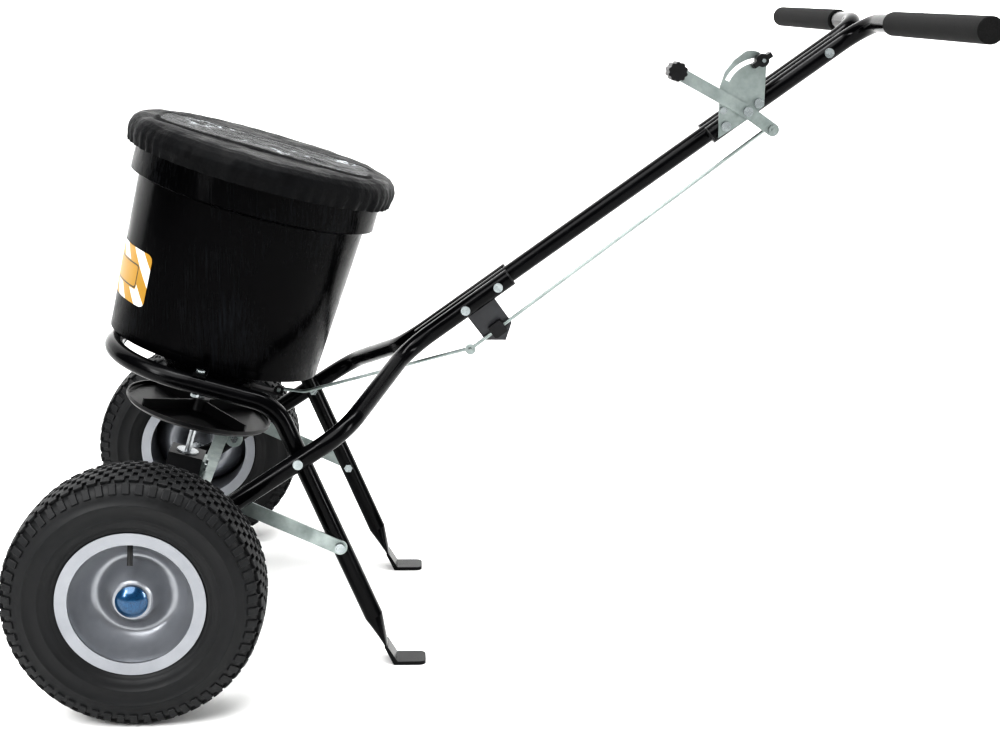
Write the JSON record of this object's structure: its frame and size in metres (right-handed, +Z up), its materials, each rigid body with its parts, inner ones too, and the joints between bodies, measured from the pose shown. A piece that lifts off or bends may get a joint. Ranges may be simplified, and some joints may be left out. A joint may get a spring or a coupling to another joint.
{
  "type": "garden spreader",
  "caption": "Walk-behind broadcast spreader: leaning round hopper with a cloth cover, spinning disc geared to the axle, tube frame, T-handle and gate lever.",
  "frame": {"origin": "on the ground, under the middle of the overall box", "axes": "+X rearward towards the handle, +Y to the machine's right side, +Z up"},
  "size_m": [1.1705, 1.005, 0.8979],
  "materials": {
    "gloss_black_paint": "gloss powder coat",
    "zinc": "zinc plated, dull",
    "bright_zinc": "bright zinc plated",
    "silver_rim": "silver paint, semi-gloss",
    "tyre_rubber": "moulded rubber",
    "valve_rubber": "moulded rubber",
    "foam": "closed-cell foam",
    "hopper_plastic": "polished, scuffed",
    "black_plastic": "moulded",
    "nylon": "natural nylon",
    "blue_metallic": "metallic blue lacquer",
    "dark_grey_steel": "satin grey paint",
    "gear_steel": "machined",
    "cover_cloth": "coated nylon cloth",
    "clear_vinyl": "flexible clear vinyl"
  },
  "bodies": {
    "frame": {"axle_bushes": "nylon", "brace_left": "zinc", "brace_right": "zinc", "cross_bar": "zinc", "frame_bolts": "bright_zinc", "gate_rails": "black_plastic", "gearbox_bolts": "bright_zinc", "gearbox_left": "black_plastic", "gearbox_right": "black_plastic", "grip_left": "foam", "grip_right": "foam", "guide_block": "black_plastic", "handle_tube_left": "gloss_black_paint", "handle_tube_right": "gloss_black_paint", "hopper": "hopper_plastic", "hopper_bolts": "bright_zinc", "leg_loop": "gloss_black_paint", "mast_bolts": "bright_zinc", "mast_tube": "gloss_black_paint", "pivot_bolt": "bright_zinc", "plate_bolts": "bright_zinc", "rate_plate": "zinc", "rod_bracket": "dark_grey_steel", "shaft_bearing": "gear_steel", "shaft_bush": "nylon", "side_tube_left": "gloss_black_paint", "side_tube_right": "gloss_black_paint", "tube_plugs": "black_plastic"},
    "drive_axle": {"axle": "gear_steel", "axle_collars": "gear_steel", "crown_gear": "gear_steel", "drive_pin": "gear_steel", "rim_left": "silver_rim", "tyre_left": "tyre_rubber", "hub_left": "silver_rim", "hub_cap_left": "blue_metallic", "valve_stem_left": "valve_rubber"},
    "free_wheel": {"rim_right": "silver_rim", "tyre_right": "tyre_rubber", "hub_right": "silver_rim", "hub_cap_right": "blue_metallic", "valve_stem_right": "valve_rubber"},
    "spinner": {"spinner_shaft": "gear_steel", "spinner_disc": "black_plastic", "pinion": "gear_steel", "agitator": "gear_steel"},
    "lever": {"lever_bar": "zinc", "lever_knob": "black_plastic"},
    "control_rod_body": {"control_rod": "zinc"},
    "link": {"link_rod": "zinc"},
    "gate": {"gate_plate": "black_plastic"},
    "stop": {"stop_screw": "bright_zinc", "wing_knob": "black_plastic"},
    "cover": {"rain_cover": "cover_cloth", "cover_window": "clear_vinyl"}
  },
  "joints": [
    {"name": "axle_turn", "type": "hinge", "parent": "frame", "child": "drive_axle", "pos_m": [-0.42025, 0, 0.165], "axis": [0, 1, 0], "continuous": true},
    {"name": "free_wheel_turn", "type": "hinge", "parent": "frame", "child": "free_wheel", "pos_m": [-0.42025, 0.35, 0.165], "axis": [0, 1, 0], "continuous": true},
    {"name": "spinner_turn", "type": "hinge", "parent": "frame", "child": "spinner", "pos_m": [-0.38067, 0, 0.30968], "axis": [0.2639, 0, 0.9646], "continuous": true},
    {"name": "lever_swing", "type": "hinge", "parent": "frame", "child": "lever", "pos_m": [0.39875, -0.043, 0.75687], "axis": [0, 1, 0], "range_deg": [0, 28]},
    {"name": "control_rod_slide", "type": "slide", "parent": "frame", "child": "control_rod_body", "axis": [0.791, 0, 0.6118], "range_m": [-0.0219, 0.0002]},
    {"name": "link_swing", "type": "hinge", "parent": "control_rod_body", "child": "link", "pos_m": [0.01575, -0.012, 0.407], "axis": [0, 1, 0], "range_deg": [0, 4.15]},
    {"name": "gate_slide", "type": "slide", "parent": "frame", "child": "gate", "axis": [0.9646, 0, -0.2639], "range_m": [-0.0218, 0.0002]},
    {"name": "stop_set", "type": "hinge", "parent": "frame", "child": "stop", "pos_m": [0.41375, -0.04, 0.7788], "axis": [0, -1, 0], "range_deg": [0, 20]},
    {"name": "cover_lift", "type": "slide", "parent": "frame", "child": "cover", "axis": [0.2639, 0, 0.9646], "range_m": [0, 0.25]}
  ],
  "couplings": [
    {"joint": "spinner_turn", "follows": "axle_turn", "ratio": -3},
    {"joint": "control_rod_slide", "follows": "lever_swing", "m_per_rad": -0.043828},
    {"joint": "link_swing", "follows": "lever_swing", "ratio": 0.13734},
    {"joint": "gate_slide", "follows": "lever_swing", "m_per_rad": -0.043668}
  ]
}
